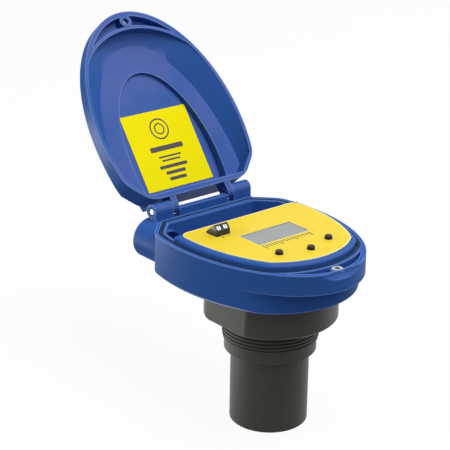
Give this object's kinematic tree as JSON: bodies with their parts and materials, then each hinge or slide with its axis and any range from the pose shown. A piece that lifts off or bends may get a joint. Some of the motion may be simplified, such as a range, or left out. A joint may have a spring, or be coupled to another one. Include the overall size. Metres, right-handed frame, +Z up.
{
  "type": "ultrasonic level transmitter",
  "caption": "Ultrasonic level transmitter: egg-shaped housing with hinged lid, display panel with push buttons and a screw terminal, on a threaded transducer with wrench flats.",
  "frame": {"origin": "on the axis of the pipe thread, at the underside of the flange where the thread starts", "axes": "+Z up along the thread axis, -Y towards the lid latch, +Y towards the hinge, +X to the right seen from the latch; the lid stands open"},
  "size_m": [0.1104, 0.2188, 0.2281],
  "materials": {
    "blue_plastic": "satin moulded blue plastic",
    "grey_plastic": "satin dark grey plastic",
    "yellow_film": "printed yellow film",
    "label": "yellow paper label",
    "pane": "smooth grey display pane",
    "display": "display module",
    "board": "green circuit board",
    "black_plastic": "black moulded plastic",
    "button": "dark push button",
    "rubber": "dark grey seal",
    "steel": "plain steel",
    "ceramic": "piezo ceramic",
    "matching": "filled resin",
    "lead": "insulated copper"
  },
  "bodies": {
    "base": {"housing": "blue_plastic", "panel_deck": "blue_plastic", "lid_gasket": "rubber", "panel_overlay": "yellow_film", "display_window": "pane", "display_module": "display", "main_board": "board", "board_components": "black_plastic", "board_screws": "steel", "terminal_block": "black_plastic", "terminal_screws": "steel", "terminal_clamps": "steel", "switch_bodies": "black_plastic", "hinge_pins": "steel", "lid_insert": "steel", "transducer_body": "grey_plastic", "body_seal": "rubber", "retaining_nut": "grey_plastic", "matching_layer": "matching", "piezo_disc": "ceramic", "damping_block": "rubber", "transducer_leads": "lead"},
    "cover": {"lid": "blue_plastic", "lid_label": "label", "lid_screw": "steel"},
    "left_key": {"button_left": "button"},
    "middle_key": {"button_middle": "button"},
    "right_key": {"button_right": "button"}
  },
  "joints": [
    {"name": "lid_hinge", "type": "hinge", "parent": "base", "child": "cover", "pos_m": [0, 0.0695, 0.05345], "axis": [1, 0, 0], "range_deg": [0, 130]},
    {"name": "left_button", "type": "slide", "parent": "base", "child": "left_key", "axis": [0, 0, -1], "range_m": [0, 0.0007], "stiffness_N_per_m": 800},
    {"name": "middle_button", "type": "slide", "parent": "base", "child": "middle_key", "axis": [0, 0, -1], "range_m": [0, 0.0007], "stiffness_N_per_m": 800},
    {"name": "right_button", "type": "slide", "parent": "base", "child": "right_key", "axis": [0, 0, -1], "range_m": [0, 0.0007], "stiffness_N_per_m": 800}
  ]
}
